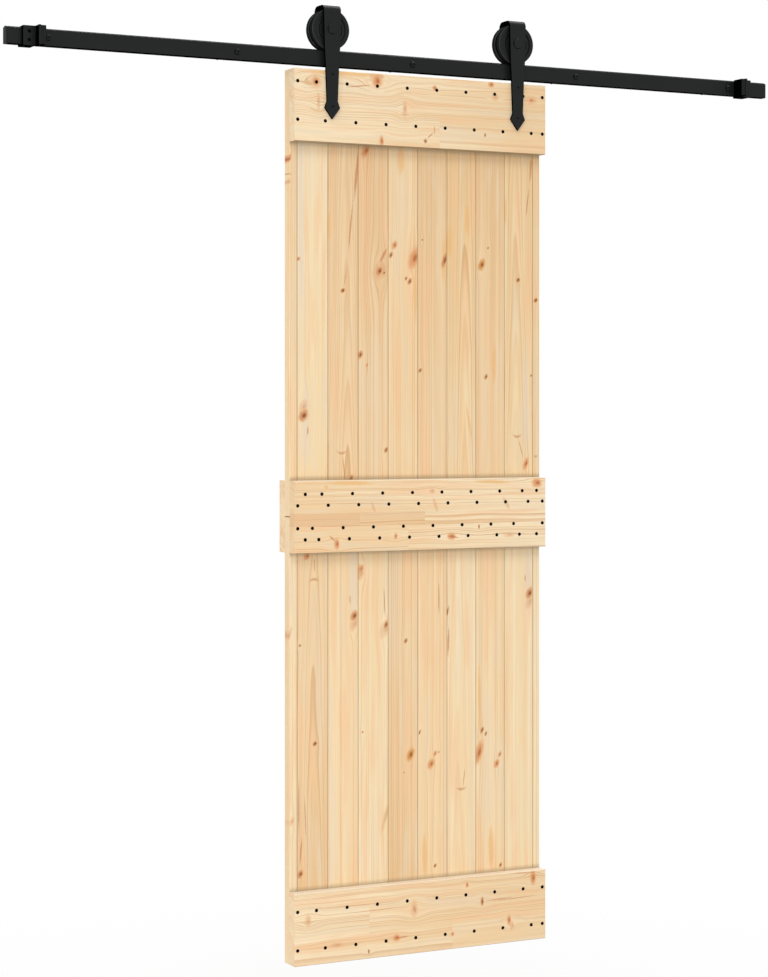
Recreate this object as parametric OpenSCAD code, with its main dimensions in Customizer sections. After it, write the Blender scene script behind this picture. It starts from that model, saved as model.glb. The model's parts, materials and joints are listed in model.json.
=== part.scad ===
// Sliding barn door: a boarded pine door that hangs from two wheels on a wall rail.
// The wall is the plane y = 0, with +y into the wall, +x along the rail and +z up.
// The origin is the point where the axis of the middle wall bolt meets the wall.

/* [Boards] */
// Number of full boards across the door
board_n = 8; // [6:1:9]
// Visible width of a full board
board_w = 80; // [70:1:100]
// Width of the narrow strip along each side
edge_w = 20; // [18:0.5:40]
// Thickness of the boards
board_t = 28; // [24:0.5:36]
// Height of the door
door_h = 2100; // [1900:10:2400]
// Width of the joint between the upper and lower boards
split_gap = 2.5; // [0.4:0.1:4]
// Width of the joint between two boards
board_gap = 0.6; // [0.2:0.1:0.8]
// Chamfer along the edges of the boards
board_chamfer = 1; // [0.4:0.1:2]
// How far a tongue reaches into the next board
tongue_w = 5; // [3:0.5:7]
// Thickness of a tongue
tongue_t = 8; // [5:0.5:10]
// Clearance around a tongue in its groove
tongue_clear = 0.3; // [0.1:0.05:0.6]

/* [Battens] */
// Height of a batten
batten_h = 170; // [150:1:200]
// Thickness of a batten
batten_t = 28; // [20:0.5:36]
// Chamfer along the edges of a batten
batten_chamfer = 1; // [0.4:0.1:3]

/* [Batten screws] */
// Diameter of a screw head
screw_head_d = 8.5; // [6:0.5:9]
// Diameter of a screw shank
screw_d = 4; // [3:0.5:5]
// Length of a screw with its head
screw_l = 38; // [32:0.5:40]
// How far a screw head lies below the wood
screw_sink = 0.3; // [0:0.1:1]
// Clearance around a screw
screw_clear = 0.1; // [0.05:0.01:0.2]
// Upper row of the top and bottom battens, from the left edge of each board
upper_row_x = 37; // [15:1:60]
// Lower row of the top and bottom battens, from the left edge of each board
lower_row_x = 60; // [15:1:65]
// Upper row of the top batten, below the top of the door
top_row_drop = 30; // [15:1:50]
// Lower row of the bottom batten, above the bottom of the door
bottom_row_rise = 37; // [15:1:50]
// Distance between the two rows of the top and bottom battens
row_step = 90; // [70:1:100]
// Screws in the edge strips, from the side of the door
edge_screw_x = 8.5; // [6:0.5:11]
// Upper pairs of the middle batten, from the left edge of each board
upper_pair_x = 51; // [40:1:55]
// Lower pairs of the middle batten, from the left edge of each board
lower_pair_x = 26.5; // [20:0.5:40]
// Middle of the pairs, from the middle of the batten
pair_z = 40; // [30:0.5:55]
// Step of a pair across the door
pair_dx = 16.5; // [10:0.5:18]
// Step of a pair up the door
pair_dz = 26.5; // [15:0.5:35]
// Outer screws of the middle batten in the last board, from the board's left edge
last_pair_x = 75; // [74.5:0.1:75.5]
// Outer screws of the middle batten in the first board, from the board's left edge
first_pair_x = 8; // [7.5:0.5:12]

/* [Rail] */
// Length of the rail without its end caps
rail_len = 2041; // [2000:1:2400]
// Height of the box section of the rail
rail_h = 37.5; // [30:0.5:45]
// Depth of the box section of the rail
rail_d = 22; // [18:0.5:26]
// Wall of the box section
rail_wall = 2; // [1.5:0.1:3]
// Outer corner radius of the box section
rail_r = 3; // [2.5:0.1:5]
// Width of the track rib on top of the rail
track_w = 6; // [4:0.1:7]
// Height of the track rib on top of the rail
track_h = 2; // [2:0.1:4]
// How far the middle of the rail lies to the right of the middle wall bolt
rail_shift = 10; // [-30:1:30]
// Gap between the bottom of the rail and the top of the door
door_drop = 10; // [6:0.5:20]
// How far the middle of the door lies to the right of the middle wall bolt
door_x = 23; // [-100:1:100]
// Gap between the rear batten and the wall
wall_gap = 10; // [5:0.5:25]
// Thickness of the flange of an end cap
cap_t = 2; // [1.5:0.1:4]
// Length of the plug of an end cap
cap_plug_l = 12; // [8:0.5:20]
// Clearance of an end cap in the rail
cap_clear = 0.15; // [0.1:0.05:0.3]

/* [Wall bolts] */
// Number of wall bolts
bolt_n = 5; // [3:2:5]
// Distance between two wall bolts
bolt_pitch = 457.5; // [380:0.5:460]
// Diameter of a wall bolt in the rail
bolt_d = 8; // [6:0.5:10]
// Diameter of a wall bolt in the wall
bolt_thread_d = 7.5; // [5.5:0.1:7.8]
// Length of the bolt past the wall plane, without its point
bolt_thread_l = 36; // [30:1:60]
// Length of the point of a wall bolt
bolt_point_l = 4; // [3:0.5:8]
// Diameter of the head of a wall bolt
bolt_head_d = 14; // [13:0.5:18]
// Height of the head of a wall bolt
bolt_head_h = 5; // [3:0.1:6]
// Width across the flats of the sockets in bolts and set screws
socket_af = 5; // [4:0.5:6]
// Depth of those sockets
socket_depth = 2.6; // [1.5:0.1:3]
// Outer diameter of a spacer between the rail and the wall
spacer_d = 17; // [15:0.5:28]
// Clearance of a wall bolt in the rail and the spacers
bolt_clear = 0.2; // [0.1:0.05:0.5]

/* [End stops] */
// Distance of a stop's rubber face from the middle wall bolt
stop_x = 932; // [927:1:940]
// Width of the clamp of a stop
stop_w = 28; // [20:0.5:30]
// Thickness of the clamp in front of the rail
stop_front_t = 12; // [10:0.5:16]
// Thickness of the clamp below the rail
stop_wall = 3; // [3:0.5:9]
// Thickness of the clamp above the track
stop_top = 1.5; // [1.5:0.5:9]
// Thickness of the lips behind the rail
stop_back_t = 4; // [3:0.5:6]
// Height of the lips behind the rail
stop_lip = 8; // [5:0.5:12]
// Thickness of the lug of a stop
lug_t = 5; // [4:0.5:8]
// How far the lug stands in front of the rail
lug_reach = 37; // [28:0.5:45]
// Thickness of the rubber
rubber_t = 12; // [8:0.5:16]
// Set back of the rubber from the edges of the lug
rubber_inset = 1; // [0.5:0.1:3]
// Diameter of the stud of the rubber
rubber_stud_d = 6; // [4:0.5:10]
// Diameter of a set screw
set_screw_d = 8; // [7:0.5:10]
// Distance between the two set screws of a stop
set_screw_step = 19; // [14:0.5:24]
// How far a set screw lies below the face of the clamp
set_screw_sink = 2; // [0:0.1:4]
// Clearance of the clamp on the rail
stop_clear = 0.2; // [0.1:0.05:0.4]

/* [Hangers] */
// Left hanger, from the left side of the door
hanger_left_in = 96; // [70:1:200]
// Right hanger, from the right side of the door
hanger_right_in = 81; // [70:1:200]
// Thickness of a strap
strap_t = 6; // [5:0.1:8]
// Width of a strap at its bend
strap_top_w = 44; // [41:0.5:50]
// Width of a strap above the rail
strap_hip_w = 40; // [35:0.5:41]
// Width of a strap below the rail
strap_waist_w = 34.2; // [29:0.1:35]
// Width of a strap above its spear head
strap_neck_w = 27.5; // [24:0.1:29]
// Width of the spear head
spear_w = 39.5; // [32:0.5:44]
// Outer radius of the bend
bend_r = 15; // [12:0.5:16]
// Height of the hip above the track
hip_rise = 5; // [2:0.5:12]
// Neck above the spear head, below the top of the door
neck_drop = 74; // [68:0.5:76]
// Shoulders of the spear head, below the top of the door
shoulder_drop = 89; // [85:0.5:95]
// Tip of the spear head, below the top of the door
tip_drop = 115.5; // [105:0.5:125]
// Upper strap bolt, below the top of the door
upper_bolt_drop = 11; // [10:0.5:25]
// Lower strap bolt, below the top of the door
lower_bolt_drop = 86; // [80:0.5:90]
// Diameter of a strap bolt
strap_bolt_d = 8; // [6:0.5:9]
// Diameter of the countersunk head of a strap bolt
strap_bolt_head_d = 14; // [12:0.5:16]
// Outer diameter of the barrel of a strap nut
barrel_d = 10.5; // [10:0.1:13]
// Length of the barrel of a strap nut
barrel_l = 20; // [14:0.5:22]
// Diameter of the flange of a strap nut
nut_flange_d = 18; // [15:0.5:20]
// Thickness of the flange of a strap nut
nut_flange_t = 2.5; // [1.5:0.1:4]
// Clearance of bolts and nuts in the wood
wood_clear = 0.15; // [0.05:0.05:0.4]

/* [Wheels] */
// Outer diameter of a wheel
wheel_d = 97; // [90:0.5:110]
// Width of a wheel
wheel_w = 37; // [35:0.5:44]
// Depth of the groove
groove_depth = 1.6; // [1:0.1:2]
// Width of the groove at its mouth
groove_w = 10; // [9.5:0.1:12]
// Width of the groove at its floor
groove_floor_w = 8; // [7.5:0.1:9]
// Chamfer along the rims of a wheel
rim_chamfer = 1.5; // [0.5:0.1:3]
// Diameter of the recess in each face
recess_d = 76; // [60:0.5:80]
// Depth of the recess in each face
recess_depth = 3; // [1:0.1:6]
// Gap between a wheel and the strap on either side
wheel_side_gap = 2.5; // [1.5:0.1:4]
// Gap between a wheel and the bend above it
wheel_top_gap = 2.4; // [2:0.1:8]
// Gap between the groove and the track
track_gap = 0.3; // [0.1:0.05:0.5]
// Diameter of an axle
axle_d = 12; // [10:0.5:13]
// Diameter of the head of an axle
axle_head_d = 25; // [20:0.5:30]
// Height of the head of an axle
axle_head_h = 3; // [2:0.1:5]
// Width across the flats of an axle nut
axle_nut_af = 19; // [17:0.5:24]
// Height of an axle nut
axle_nut_h = 10; // [8:0.5:14]
// How far an axle stands out of its nut
axle_end_l = 2; // [1:0.5:5]
// Outer diameter of the sleeves on an axle
sleeve_d = 15.6; // [15:0.1:16]
// Outer diameter of a bearing
bearing_od = 28; // [26:0.5:32]
// Width of a bearing
bearing_w = 8; // [7:0.5:10]
// Diameter of the balls
ball_d = 5; // [4.5:0.1:5.5]
// Number of balls
ball_n = 9; // [6:1:9]
// Half of the open width between the rings
ring_gap = 1.6; // [1.2:0.1:2]
// Play of a ball in its races
ball_clear = 0.05; // [0.02:0.01:0.1]
// Radial clearance of the fits on an axle and in a hub
fit = 0.05; // [0.01:0.01:0.1]

/* [Hidden] */
$fn = 64;
door_w = board_n * board_w + 2 * edge_w;
door_left = door_x - door_w / 2;
door_right = door_left + door_w;
door_top = -rail_h / 2 - door_drop;
door_bottom = door_top - door_h;
split_z = door_top - door_h / 2;

board_back = -wall_gap - batten_t;
board_front = board_back - board_t;
batten_front = board_front - batten_t;
strap_front = batten_front - strap_t;

wheel_y = batten_front + wheel_side_gap + wheel_w / 2;
rear_leg_front = wheel_y + wheel_w / 2 + wheel_side_gap;
rear_leg_back = rear_leg_front + strap_t;
track_top = rail_h / 2 + track_h;
groove_d = wheel_d - 2 * groove_depth;
axle_z = track_top + track_gap + groove_d / 2;
strap_top = axle_z + wheel_d / 2 + wheel_top_gap + strap_t;
hanger_x = [door_left + hanger_left_in, door_right - hanger_right_in];

rail_back = wheel_y + rail_d / 2;
rail_front = wheel_y - rail_d / 2;
rail_left = rail_shift - rail_len / 2;
rail_right = rail_shift + rail_len / 2;
bolt_x = [for (k = [0:bolt_n - 1]) (k - (bolt_n - 1) / 2) * bolt_pitch];
bolt_ease = bolt_head_h / 2;
axle_ease = axle_head_h / 2;

bearing_mid_r = (axle_d + bearing_od) / 4;
strap_bolt_z = [door_top - upper_bolt_drop, door_top - lower_bolt_drop];
strap_bolt_head_l = (strap_bolt_head_d - strap_bolt_d) / 2;
strap_bolt_end = board_back - nut_flange_t;
screw_head_l = (screw_head_d - screw_d) / 2;
screw_point_l = screw_d;

pine = [0.93, 0.82, 0.63];
pine_batten = [0.95, 0.83, 0.63];
black = [0.15, 0.16, 0.16];
jet = [0.06, 0.06, 0.06];
steel = [0.7, 0.7, 0.72];

// Places of the batten screws, each as [x, z]
function board_left(k) = door_left + edge_w + k * board_w;
function edges_x() = [door_left + edge_screw_x, door_right - edge_screw_x];
function row_x(from_edge) = concat([for (k = [0:board_n - 1]) board_left(k) + from_edge], edges_x());
function two_rows(z) = concat(
    [for (x = row_x(upper_row_x)) [x, z + row_step / 2]],
    [for (x = row_x(lower_row_x)) [x, z - row_step / 2]]
);
// Pairs step to the right going down. The outer screws lie in the upper row (up = 1) or the lower one (-1)
function pairs(x, z, up) = concat(
    [for (k = [0:board_n - 2], s = [0, 1]) [board_left(k) + x + s * pair_dx, z + (0.5 - s) * pair_dz]],
    [for (s = [0, 1]) [board_left(board_n - 1) + x + (s - 1) * pair_dx, z + (0.5 - s) * pair_dz]],
    [for (x_edge = edges_x()) [x_edge, z - up * pair_dz / 2]],
    [for (x_end = [board_left(0) + first_pair_x, board_left(board_n - 1) + last_pair_x])
        [x_end, z + up * pair_dz / 2]]
);
top_sites = two_rows(door_top - top_row_drop - row_step / 2);
bottom_sites = two_rows(door_bottom + bottom_row_rise + row_step / 2);
middle_sites = concat(
    pairs(upper_pair_x, split_z + pair_z, 1),
    pairs(lower_pair_x, split_z - pair_z, -1)
);
rear_sites = [for (s = middle_sites) [2 * door_x - s.x, s.y]];

// Shapes that repeat
module rod(y0, y1, d) translate([0, y0, 0]) rotate([-90, 0, 0]) cylinder(h = y1 - y0, d = d);
module cone(y0, y1, d0, d1) translate([0, y0, 0]) rotate([-90, 0, 0]) cylinder(h = y1 - y0, d1 = d0, d2 = d1);
module turned() rotate([-90, 0, 0]) rotate_extrude() children();
module along_x(x0, x1) translate([x0, 0, 0]) rotate([90, 0, 90]) linear_extrude(x1 - x0) children();
module plate(y0, y1) translate([0, y1, 0]) rotate([90, 0, 0]) linear_extrude(y1 - y0) children();
module at(x, z) translate([x, 0, z]) children();
module hex_socket(y) translate([0, y - socket_depth, 0]) rotate([-90, 0, 0])
    cylinder(h = 2 * socket_depth, d = socket_af / cos(30), $fn = 6);
module rounded(w, h, r) {
    square([w - 2 * r, h], center = true);
    square([w, h - 2 * r], center = true);
    for (sx = [-1, 1], sz = [-1, 1]) translate([sx * (w / 2 - r), sz * (h / 2 - r)]) circle(r);
}
module chamfered(w, h, c) polygon([
    [-w / 2 + c, -h / 2], [w / 2 - c, -h / 2], [w / 2, -h / 2 + c], [w / 2, h / 2 - c],
    [w / 2 - c, h / 2], [-w / 2 + c, h / 2], [-w / 2, h / 2 - c], [-w / 2, -h / 2 + c]
]);

// A batten screw driven from y towards +y, and the hole that it sits in
module screw(y) {
    cone(y + screw_sink, y + screw_sink + screw_head_l, screw_head_d, screw_d);
    rod(y + screw_sink + screw_head_l, y + screw_l - screw_point_l, screw_d);
    cone(y + screw_l - screw_point_l, y + screw_l, screw_d, screw_d / 4);
}
module screw_hole(y) {
    grow = 2 * screw_clear;
    rod(y - screw_sink, y + screw_sink, screw_head_d + grow);
    cone(y + screw_sink, y + screw_sink + screw_head_l, screw_head_d + grow, screw_d + grow);
    rod(y + screw_sink, y + screw_l + screw_clear, screw_d + grow);
}
// Turns what is drawn for the front of the door to its back
module from_behind() translate([0, -wall_gap, 0]) mirror([0, 1, 0]) children();
module front_screws(sites) for (s = sites) at(s.x, s.y) screw(batten_front);
module front_holes(sites) for (s = sites) at(s.x, s.y) screw_hole(batten_front);
module rear_screws(sites) for (s = sites) at(s.x, s.y) from_behind() screw(0);
module rear_holes(sites) for (s = sites) at(s.x, s.y) from_behind() screw_hole(0);
module strap_bolt_holes() for (x = hanger_x, z = strap_bolt_z) at(x, z) {
    rod(batten_front - strap_t, board_back + strap_t, strap_bolt_d + 2 * wood_clear);
    rod(board_back - barrel_l - wood_clear, board_back + strap_t, barrel_d + 2 * wood_clear);
}

// Cross-section of a board, seen from above, from x = 0 to x = w
module board_section(w, tongue, groove) {
    mid_y = (board_front + board_back) / 2;
    left = board_gap / 2;
    difference() {
        translate([w / 2, mid_y]) chamfered(w - board_gap, board_t, board_chamfer);
        if (groove) translate([0, mid_y - tongue_t / 2 - tongue_clear])
            square([left + tongue_w + tongue_clear, tongue_t + 2 * tongue_clear]);
    }
    if (tongue) translate([w - left - tongue_w, mid_y - tongue_t / 2])
        square([2 * tongue_w + board_gap - tongue_clear, tongue_t]);
}
// Keeps the screws that pass through a board which spans x0 to x1 and z0 to z1
function in_board(sites, x0, x1, z0, z1) = [for (s = sites)
    if (s.x > x0 - screw_d && s.x < x1 + tongue_w + screw_d && s.y > z0 && s.y < z1) s];
module board(x, w, z0, z1, tongue, groove) color(pine) difference() {
    translate([x, 0, z0]) linear_extrude(z1 - z0) board_section(w, tongue, groove);
    front_holes(in_board(concat(top_sites, middle_sites, bottom_sites), x, x + w, z0, z1));
    rear_holes(in_board(rear_sites, x, x + w, z0, z1));
    strap_bolt_holes();
}
module upper(x, w, tongue, groove) board(x, w, split_z + split_gap / 2, door_top, tongue, groove);
module lower(x, w, tongue, groove) board(x, w, door_bottom, split_z - split_gap / 2, tongue, groove);
module upper_board(k) upper(board_left(k), board_w, true, true);
module lower_board(k) lower(board_left(k), board_w, true, true);
module upper_left_strip() upper(door_left, edge_w, true, false);
module lower_left_strip() lower(door_left, edge_w, true, false);
module upper_right_strip() upper(door_right - edge_w, edge_w, false, true);
module lower_right_strip() lower(door_right - edge_w, edge_w, false, true);

// A batten whose middle is at the height z, in front of the boards or behind them
module batten(z, y) translate([0, y, z]) along_x(door_left, door_right)
    chamfered(batten_t, batten_h, batten_chamfer);
module front_batten(z, sites) color(pine_batten) difference() {
    batten(z, board_front - batten_t / 2);
    front_holes(sites);
    strap_bolt_holes();
}
module top_batten() front_batten(door_top - batten_h / 2, top_sites);
module middle_batten() front_batten(split_z, middle_sites);
module bottom_batten() front_batten(door_bottom + batten_h / 2, bottom_sites);
module rear_batten() color(pine_batten) difference() {
    batten(split_z, board_back + batten_t / 2);
    rear_holes(rear_sites);
}
module top_batten_screws() color(jet) front_screws(top_sites);
module middle_batten_screws() color(jet) front_screws(middle_sites);
module bottom_batten_screws() color(jet) front_screws(bottom_sites);
module rear_batten_screws() color(jet) rear_screws(rear_sites);

// Outline of the rail's section, grown by a clearance
module rail_outline(grow) {
    rounded(rail_d + 2 * grow, rail_h + 2 * grow, rail_r + grow);
    translate([-track_w / 2 - grow, 0]) square([track_w + 2 * grow, track_top + grow]);
}
module rail_hollow(shrink) rounded(
    rail_d - 2 * rail_wall - 2 * shrink, rail_h - 2 * rail_wall - 2 * shrink, rail_r - rail_wall
);
module rail() color(black) difference() {
    translate([0, wheel_y, 0]) along_x(rail_left, rail_right) difference() {
        rail_outline(0);
        rail_hollow(0);
    }
    for (x = bolt_x) at(x, 0) rod(rail_front - rail_wall, rail_back + rail_wall, bolt_d + 2 * bolt_clear);
}
module end_cap() {
    translate([0, wheel_y, 0]) along_x(0, cap_t) rail_outline(0);
    translate([0, wheel_y, 0]) along_x(-cap_plug_l, 0) difference() {
        rail_hollow(cap_clear);
        rounded(rail_d - 4 * rail_wall, rail_h - 4 * rail_wall, rail_r - rail_wall);
    }
}
module right_end_cap() color(black) translate([rail_right, 0, 0]) end_cap();
module left_end_cap() color(black) translate([rail_left, 0, 0]) mirror([1, 0, 0]) end_cap();
module rail_spacers() color(black) for (x = bolt_x) at(x, 0) difference() {
    rod(rail_back, 0, spacer_d);
    rod(rail_back - rail_wall, rail_wall, bolt_d + 2 * bolt_clear);
}
module wall_bolts() color(black) for (x = bolt_x) at(x, 0) difference() {
    union() {
        translate([0, rail_front, 0]) turned() polygon([
            [0, 0], [bolt_head_d / 2, 0], [bolt_head_d / 2, -bolt_ease],
            [bolt_head_d / 2 - bolt_ease, -bolt_head_h], [0, -bolt_head_h]
        ]);
        rod(rail_front, 0, bolt_d);
        rod(0, bolt_thread_l, bolt_thread_d);
        cone(bolt_thread_l, bolt_thread_l + bolt_point_l, bolt_thread_d, bolt_thread_d / 4);
    }
    hex_socket(rail_front - bolt_head_h);
}

// The right-hand end stop: a clamp round the rail with a lug that carries a rubber
stop_low = -rail_h / 2 - stop_wall;
stop_high = track_top + stop_top;
clamp_x = stop_x + rubber_t + lug_t;
set_screw_x = clamp_x + stop_w / 2;
set_screw_z = [for (s = [-1, 1]) s * set_screw_step / 2];
lug_back = rail_front - stop_clear;
stud_y = (rail_front - lug_reach + lug_back) / 2;
module lug_outline(inset) translate([rail_front - lug_reach + inset, stop_low + inset])
    square([lug_back - rail_front + lug_reach - 2 * inset, stop_high - stop_low - 2 * inset]);
module stud(x0, x1, d) translate([x0, stud_y, (stop_low + stop_high) / 2]) rotate([0, 90, 0])
    cylinder(h = x1 - x0, d = d);
module stop() difference() {
    union() {
        along_x(clamp_x - lug_t, clamp_x) lug_outline(0);
        along_x(clamp_x, clamp_x + stop_w) difference() {
            translate([rail_front - stop_front_t, stop_low])
                square([rail_d + stop_front_t + stop_back_t, stop_high - stop_low]);
            translate([wheel_y, 0]) rail_outline(stop_clear);
            translate([wheel_y, -rail_h / 2 + stop_lip]) square([rail_d, rail_h - 2 * stop_lip]);
        }
    }
    stud(clamp_x - lug_t - fit, clamp_x + fit, rubber_stud_d + 2 * fit);
    for (z = set_screw_z) at(set_screw_x, z)
        rod(rail_front - 2 * stop_front_t, rail_front, set_screw_d + 2 * fit);
}
module rubber() {
    along_x(stop_x, stop_x + rubber_t) lug_outline(rubber_inset);
    stud(stop_x + rubber_t, clamp_x, rubber_stud_d);
}
module set_screws() for (z = set_screw_z) at(set_screw_x, z) difference() {
    rod(rail_front - stop_front_t + set_screw_sink, rail_front, set_screw_d);
    hex_socket(rail_front - stop_front_t + set_screw_sink);
}
module right_stop() color(black) stop();
module left_stop() color(black) mirror([1, 0, 0]) stop();
module right_rubber() color(jet) rubber();
module left_rubber() color(jet) mirror([1, 0, 0]) rubber();
module stop_screws() color(jet) {
    set_screws();
    mirror([1, 0, 0]) set_screws();
}

// One hanger, drawn about x = 0: a strap bent over its wheel and bolted to the door
bend_z = strap_top - bend_r;
hip_z = track_top + hip_rise;
waist_z = -rail_h / 2;
module front_leg() plate(strap_front, batten_front) polygon([
    [-strap_top_w / 2, bend_z], [-strap_hip_w / 2, hip_z], [-strap_waist_w / 2, waist_z],
    [-strap_neck_w / 2, door_top - neck_drop], [-spear_w / 2, door_top - shoulder_drop],
    [0, door_top - tip_drop],
    [spear_w / 2, door_top - shoulder_drop], [strap_neck_w / 2, door_top - neck_drop],
    [strap_waist_w / 2, waist_z], [strap_hip_w / 2, hip_z], [strap_top_w / 2, bend_z]
]);
module rear_leg() plate(rear_leg_front, rear_leg_back) {
    translate([0, axle_z]) circle(d = strap_top_w);
    translate([-strap_top_w / 2, axle_z]) square([strap_top_w, bend_z - axle_z]);
}
// Side view of a top with rounded corners that starts at bend_z
module rounded_top(half_w, r) intersection() {
    union() {
        translate([r - half_w, bend_z]) square([2 * (half_w - r), r]);
        for (s = [-1, 1]) translate([s * (half_w - r), bend_z]) circle(r);
    }
    translate([-half_w, bend_z]) square([2 * half_w, r]);
}
module bend() {
    inner_w = wheel_w / 2 + wheel_side_gap;
    translate([0, wheel_y, 0]) along_x(-strap_top_w / 2, strap_top_w / 2) difference() {
        rounded_top(inner_w + strap_t, bend_r);
        rounded_top(inner_w, bend_r - strap_t);
    }
}
module strap() difference() {
    union() {
        front_leg();
        rear_leg();
        bend();
    }
    at(0, axle_z) rod(strap_front - strap_t, rear_leg_back + strap_t, axle_d + 2 * fit);
    for (z = strap_bolt_z) at(0, z) {
        rod(strap_front - strap_t, batten_front + strap_t, strap_bolt_d + 2 * fit);
        cone(
            strap_front, strap_front + strap_bolt_head_l,
            strap_bolt_head_d + 2 * fit, strap_bolt_d + 2 * fit
        );
    }
}
module axle_bolt() at(0, axle_z) {
    translate([0, strap_front, 0]) turned() polygon([
        [0, 0], [axle_head_d / 2, 0], [axle_head_d / 2, -axle_ease],
        [axle_head_d / 2 - axle_ease, -axle_head_h], [0, -axle_head_h]
    ]);
    rod(strap_front, rear_leg_back + axle_nut_h + axle_end_l, axle_d);
}
module axle_nut() at(0, axle_z) difference() {
    translate([0, rear_leg_back, 0]) rotate([-90, 0, 0])
        cylinder(h = axle_nut_h, d = axle_nut_af / cos(30), $fn = 6);
    rod(rear_leg_back - strap_t, rear_leg_back + 2 * axle_nut_h, axle_d + 2 * fit);
}
module sleeve(y0, y1) difference() {
    rod(y0, y1, sleeve_d);
    rod(y0 - strap_t, y1 + strap_t, axle_d + 2 * fit);
}
module axle_sleeves() at(0, axle_z) {
    sleeve(batten_front, wheel_y - bearing_w / 2);
    sleeve(wheel_y + bearing_w / 2, rear_leg_front);
}
module strap_bolts() for (z = strap_bolt_z) at(0, z) difference() {
    union() {
        cone(strap_front, strap_front + strap_bolt_head_l, strap_bolt_head_d, strap_bolt_d);
        rod(strap_front + strap_bolt_head_l, strap_bolt_end, strap_bolt_d);
    }
    hex_socket(strap_front);
}
module strap_nuts() for (z = strap_bolt_z) at(0, z) difference() {
    union() {
        rod(board_back - barrel_l, board_back, barrel_d);
        rod(board_back, board_back + nut_flange_t, nut_flange_d);
    }
    rod(board_back - barrel_l - strap_t, board_back, strap_bolt_d + 2 * fit);
}
// Section of the wheel as radius and distance from its middle plane
module wheel() at(0, axle_z) translate([0, wheel_y, 0]) turned() {
    r = wheel_d / 2;
    half = wheel_w / 2;
    web = half - recess_depth;
    hub_r = bearing_mid_r + ring_gap + ball_clear;
    seat_r = bearing_od / 2 + fit;
    polygon([
        [hub_r, -web], [recess_d / 2, -web], [recess_d / 2, -half],
        [r - rim_chamfer, -half], [r, rim_chamfer - half],
        [r, -groove_w / 2], [groove_d / 2, -groove_floor_w / 2],
        [groove_d / 2, groove_floor_w / 2], [r, groove_w / 2],
        [r, half - rim_chamfer], [r - rim_chamfer, half],
        [recess_d / 2, half], [recess_d / 2, web],
        [seat_r, web], [seat_r, -bearing_w / 2], [hub_r, -bearing_w / 2]
    ]);
}
module ring(r0, r1) at(0, axle_z) translate([0, wheel_y, 0]) turned() difference() {
    translate([r0, -bearing_w / 2]) square([r1 - r0, bearing_w]);
    translate([bearing_mid_r, 0]) circle(d = ball_d + 2 * ball_clear);
}
module bearing_inner_ring() ring(axle_d / 2 + fit, bearing_mid_r - ring_gap);
module bearing_outer_ring() ring(bearing_mid_r + ring_gap, bearing_od / 2);
module bearing_balls() at(0, axle_z) translate([0, wheel_y, 0])
    for (k = [0:ball_n - 1]) rotate([0, k * 360 / ball_n, 0])
        translate([bearing_mid_r, 0, 0]) sphere(d = ball_d);

// Each side's hanger, by the names of its pieces
module hanger_piece(name) {
    if (name == "strap") color(black) strap();
    if (name == "axle_bolt") color(black) axle_bolt();
    if (name == "axle_nut") color(black) axle_nut();
    if (name == "axle_sleeves") color(black) axle_sleeves();
    if (name == "strap_bolts") color(black) strap_bolts();
    if (name == "strap_nuts") color(black) strap_nuts();
    if (name == "wheel") color(black) wheel();
    if (name == "bearing_inner_ring") color(steel) bearing_inner_ring();
    if (name == "bearing_outer_ring") color(steel) bearing_outer_ring();
    if (name == "bearing_balls") color(steel) bearing_balls();
}
SIDES = ["left", "right"];
HANGER_PIECES = [
    "strap", "axle_bolt", "axle_nut", "axle_sleeves", "strap_bolts", "strap_nuts",
    "wheel", "bearing_inner_ring", "bearing_outer_ring", "bearing_balls"
];

rail();
left_end_cap();
right_end_cap();
rail_spacers();
wall_bolts();
left_stop();
right_stop();
left_rubber();
right_rubber();
stop_screws();
upper_left_strip();
upper_right_strip();
lower_left_strip();
lower_right_strip();
top_batten();
middle_batten();
bottom_batten();
rear_batten();
top_batten_screws();
middle_batten_screws();
bottom_batten_screws();
rear_batten_screws();
for (k = [1:board_n]) upper_board(k - 1);
for (k = [1:board_n]) lower_board(k - 1);
for (i = [0, 1], piece = HANGER_PIECES)
    at(hanger_x[i], 0) hanger_piece(piece);
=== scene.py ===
import json
import math

import bpy
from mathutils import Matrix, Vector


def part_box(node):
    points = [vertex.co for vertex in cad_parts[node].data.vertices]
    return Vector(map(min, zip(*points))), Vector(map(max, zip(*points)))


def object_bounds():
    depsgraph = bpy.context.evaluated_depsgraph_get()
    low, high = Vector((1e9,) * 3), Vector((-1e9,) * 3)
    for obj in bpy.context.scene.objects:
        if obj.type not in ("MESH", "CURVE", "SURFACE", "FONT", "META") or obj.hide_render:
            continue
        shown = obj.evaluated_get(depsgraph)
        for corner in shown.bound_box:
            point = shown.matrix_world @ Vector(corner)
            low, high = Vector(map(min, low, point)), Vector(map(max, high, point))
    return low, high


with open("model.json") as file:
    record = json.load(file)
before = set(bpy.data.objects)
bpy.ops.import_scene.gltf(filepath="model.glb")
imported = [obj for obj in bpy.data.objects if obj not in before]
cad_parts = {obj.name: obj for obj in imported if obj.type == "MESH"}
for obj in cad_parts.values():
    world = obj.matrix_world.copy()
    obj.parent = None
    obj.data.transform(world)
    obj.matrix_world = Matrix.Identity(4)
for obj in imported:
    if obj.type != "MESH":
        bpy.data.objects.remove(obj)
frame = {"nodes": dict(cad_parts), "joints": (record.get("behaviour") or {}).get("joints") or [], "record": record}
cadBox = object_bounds()
nodes = frame["nodes"]
print("frame loaded with", len(nodes), "nodes")

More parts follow.
